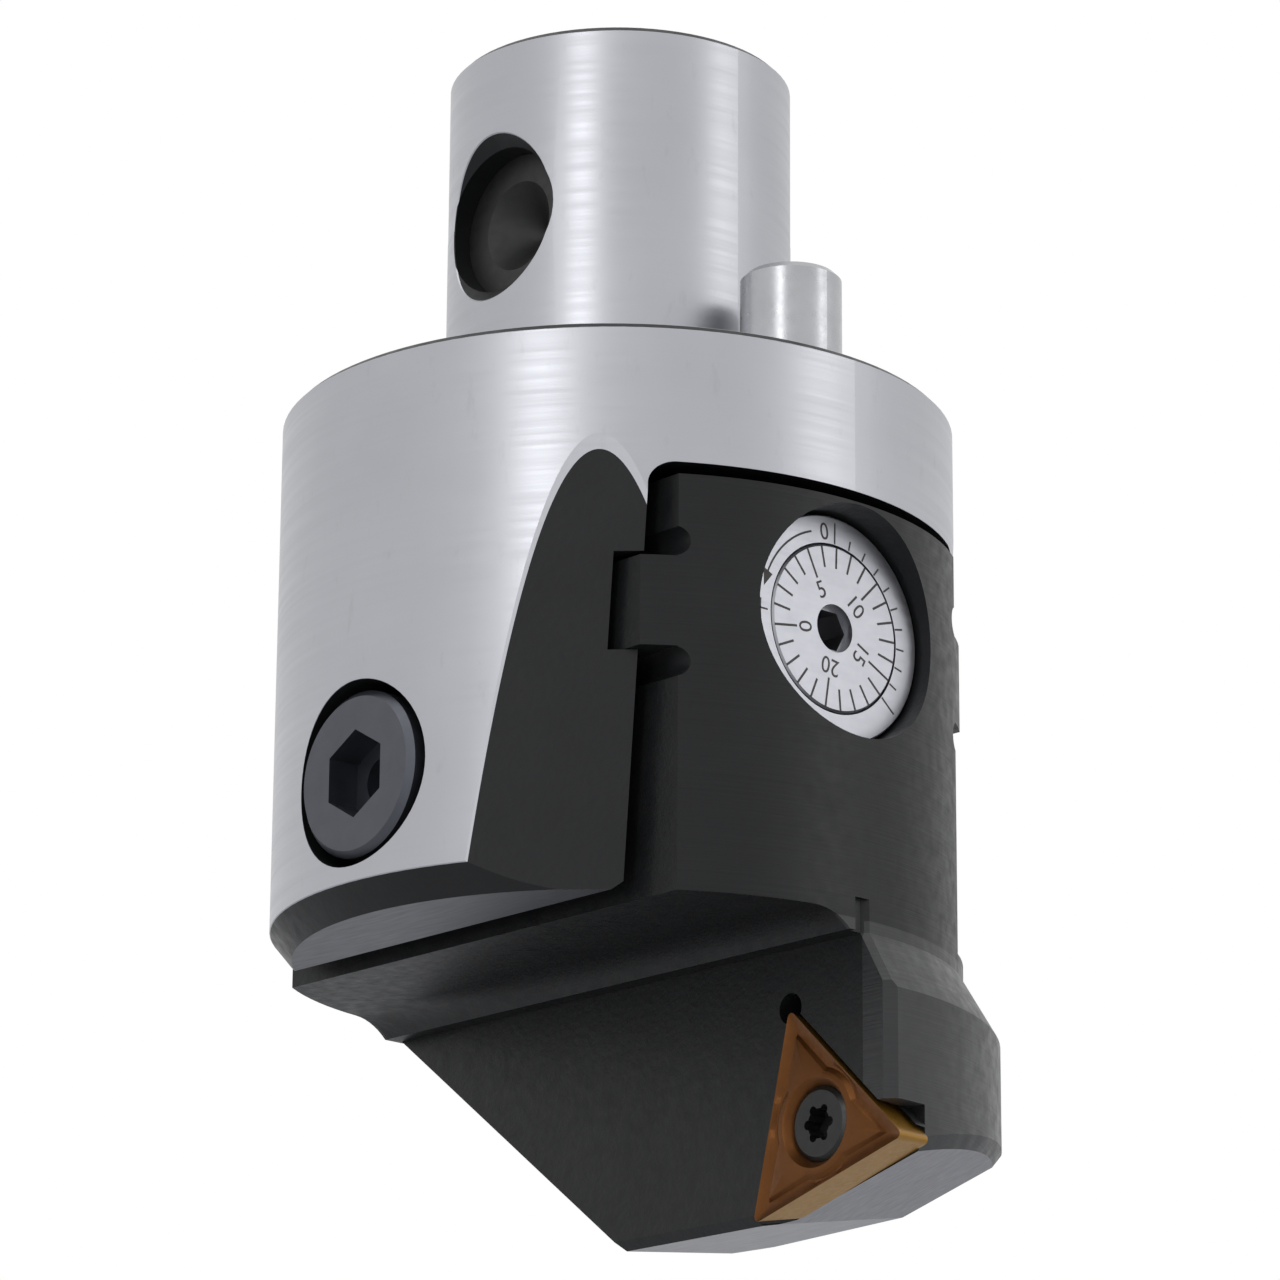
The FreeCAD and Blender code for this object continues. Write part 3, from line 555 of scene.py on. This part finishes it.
def bandMesh(radius, width, start, end, place, arrow=None):
    # arc-shaped line on the ring face, with an arrow head at its end
    steps = 32
    shape = bmesh.new()
    rows = []
    for i in range(steps + 1):
        a = math.radians(start + (end - start) * i / steps)
        pair = [shape.verts.new((0, r * mm * math.cos(a), r * mm * math.sin(a)))
                for r in (radius - width / 2, radius + width / 2)]
        rows.append(pair)
    for first, second in zip(rows, rows[1:]):
        shape.faces.new((first[0], first[1], second[1], second[0]))
    if arrow:
        tip, half = arrow
        a = math.radians(end)
        b = math.radians(tip)
        corners = [(radius - half, a), (radius + half, a), (radius, b)]
        shape.faces.new([shape.verts.new((0, r * mm * math.cos(t), r * mm * math.sin(t))) for r, t in corners])
    bmesh.ops.recalc_face_normals(shape, faces=shape.faces)
    mesh = bpy.data.meshes.new("band")
    shape.to_mesh(mesh)
    shape.free()
    mesh.transform(Matrix.Translation(place))
    return mesh


def makeDialMarks():
    low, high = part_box("graduated_dial")
    axisZ = (low.z + high.z) / 2
    face = Vector((high.x + dialSizes["lift"] * mm, 0, axisZ))
    ringFace = Vector((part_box("vernier_ring")[1].x + dialSizes["lift"] * mm, 0, axisZ))
    tree, ids = makeMarkTree()
    bakeMarks("dialLines", tree, ids, {
        "Count": dialSizes["divisions"], "Every": dialSizes["numberEvery"],
        "Start": math.radians(dialSizes["zeroAngle"]), "Step": math.radians(dialSizes["step"]),
        "Near": dialSizes["outer"] * mm, "Short": dialSizes["shortInner"] * mm,
        "Long": dialSizes["longInner"] * mm, "Width": dialSizes["lineWidth"] * mm,
        "Finish": finishes["mark"]}, face, "dial")
    bakeMarks("vernierLines", tree, ids, {
        "Count": ringSizes["lines"], "Every": ringSizes["lines"] - 1,
        "Start": math.radians(ringSizes["zeroAngle"]), "Step": math.radians(ringSizes["step"]),
        "Near": ringSizes["inner"] * mm, "Short": ringSizes["shortOuter"] * mm,
        "Long": ringSizes["longOuter"] * mm, "Width": ringSizes["lineWidth"] * mm,
        "Finish": finishes["mark"]}, ringFace, "holder")
    numbers = []
    for i in range(0, dialSizes["divisions"], dialSizes["numberEvery"]):
        angle = dialSizes["zeroAngle"] - i * dialSizes["step"]
        numbers.append(numberMesh(str(i), dialSizes["numberHeight"], dialSizes["numberRadius"], angle, face))
    flatPiece("dialNumbers", joined(numbers, "dialNumbers"), "dial")
    zero = numberMesh("0", dialSizes["numberHeight"], ringSizes["zeroRadius"], ringSizes["zeroAt"], ringFace)
    r = ringSizes["plusRadius"]
    arm = ringSizes["plusArm"]
    width = ringSizes["lineWidth"]
    turn = math.degrees(arm / r)
    across = bandMesh(r, width, ringSizes["plusAt"] - turn, ringSizes["plusAt"] + turn, ringFace)
    thin = math.degrees(width / 2 / r)
    along = bandMesh(r, 2 * arm, ringSizes["plusAt"] - thin, ringSizes["plusAt"] + thin, ringFace)
    arrow = bandMesh(ringSizes["arcRadius"], width * 1.1, ringSizes["arcFrom"], ringSizes["arcTo"], ringFace,
                     (ringSizes["arrowTo"], ringSizes["arrowHalf"]))
    flatPiece("ringSigns", joined([zero, across, along, arrow], "ringSigns"), "holder")


makeDialMarks()
print("stage: dial marks")


# Insert with its chip breaker

insertSizes = {
    "inscribed": 9.525,
    "thick": 3.97,
    "clearance": 7.0,
    "corner": 0.4,
    "turn": 106.2,
    "rim": 3.3,
    "ring": 3.85,
    "islandTip": 7.0,
    "islandWaist": 3.3,
    "grooveDepth": 0.34,
    "land": 0.12,
    "wall": 0.42,
    "hole": 2.2,
    "holeDepth": 2.2,
    # radius past the rim, and depth, down the rounded mouth of the hole
    "mouth": [(-0.35, 0.62), (-0.06, 0.14), (0.12, 0.0), (0.36, 0.0)],
    "edgeLedge": 0.9,
    "footLedge": 0.45,
    "edgeRound": 0.03,
    "topFaces": 12,
    "sharp": 28.0,
    "around": 360,
}


def edgeRadius(angle, inner, corner):
    # distance from the centre to a rounded triangle's outline; a corner lies at angle 0
    third = math.radians(120)
    a = (angle + third / 2) % third - third / 2
    side = math.pi / 3 - abs(a)
    flat = inner / math.cos(side)
    hub = 2 * (inner - corner)
    root = corner ** 2 - (hub * math.sin(a)) ** 2
    if root >= 0:
        arc = hub * math.cos(a) + math.sqrt(root)
        touch = math.atan2(corner * math.sin(math.pi / 3), hub + corner * math.cos(math.pi / 3))
        if abs(a) < touch:
            return arc
    return flat


def islandRadius(angle):
    # raised middle: a ring round the hole with a point towards each corner
    third = math.radians(120)
    a = abs((angle + third / 2) % third - third / 2)
    tip = insertSizes["islandTip"]
    waist = insertSizes["islandWaist"]
    end = math.pi / 3
    spike = tip * waist * math.sin(end) / (waist * math.sin(end - a) + tip * math.sin(a))
    return max(insertSizes["ring"], spike)


def makeInsert():
    s = insertSizes
    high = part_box("insert")[1]
    inner = s["inscribed"] / 2
    around = s["around"]
    shape = bmesh.new()
    columns = []
    for i in range(around):
        angle = 2 * math.pi * i / around
        edge = edgeRadius(angle, inner, s["corner"])
        island = min(islandRadius(angle), edge - s["edgeLedge"])
        foot = min(island + s["wall"], edge - s["footLedge"])
        land = edge - s["land"]
        floor = foot + 0.35 * (land - foot)
        narrow = s["thick"] * math.tan(math.radians(s["clearance"]))
        back = edgeRadius(angle, inner - narrow, s["corner"])
        rows = [(s["hole"], s["thick"]), (s["hole"], s["holeDepth"])]
        rows += [(s["rim"] + out, down) for out, down in s["mouth"]]
        rows += [
            (max(island - 0.1, s["rim"] + 0.42), 0.02), (island + 0.06, 0.05),
            (foot, s["grooveDepth"]), (floor, s["grooveDepth"] * 0.92), (land - 0.02, 0.03),
            (edge - s["edgeRound"], 0.0), (edge, s["edgeRound"]), (back, s["thick"]), (s["hole"], s["thick"]),
        ]
        columns.append([shape.verts.new((r * mm * math.cos(angle), d * mm, r * mm * math.sin(angle)))
                        for r, d in rows])
    for i in range(around):
        first = columns[i]
        second = columns[(i + 1) % around]
        for k in range(len(first) - 1):
            face = shape.faces.new((first[k], first[k + 1], second[k + 1], second[k]))
            face.material_index = 1 if k >= s["topFaces"] else 0
            face.smooth = True
    bmesh.ops.remove_doubles(shape, verts=shape.verts, dist=0.0005 * mm)
    bmesh.ops.recalc_face_normals(shape, faces=shape.faces)
    mesh = bpy.data.meshes.new("cuttingInsert")
    shape.to_mesh(mesh)
    shape.free()
    # the triangle's outline fixes its centre: the lower corners differ from the box by the turn
    turn = math.radians(s["turn"])
    reach = 2 * (inner - s["corner"])
    corners = [turn, turn - 2 * math.pi / 3, turn + 2 * math.pi / 3]
    right = max(reach * math.cos(c) + s["corner"] for c in corners)
    top = max(reach * math.sin(c) + s["corner"] for c in corners)
    centre = Vector((high.x - right * mm, 0, high.z - top * mm))
    mesh.transform(Matrix.Translation(centre) @ Matrix.Rotation(-turn, 4, "Y"))
    mesh.materials.append(finishes["insertTop"])
    mesh.materials.append(finishes["insertSide"])
    piece = bpy.data.objects.new("cuttingInsert", mesh)
    bpy.context.scene.collection.objects.link(piece)
    mesh.set_sharp_from_angle(angle=math.radians(s["sharp"]))
    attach(piece, "holder")
    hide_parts("insert")


makeInsert()
print("stage: insert")
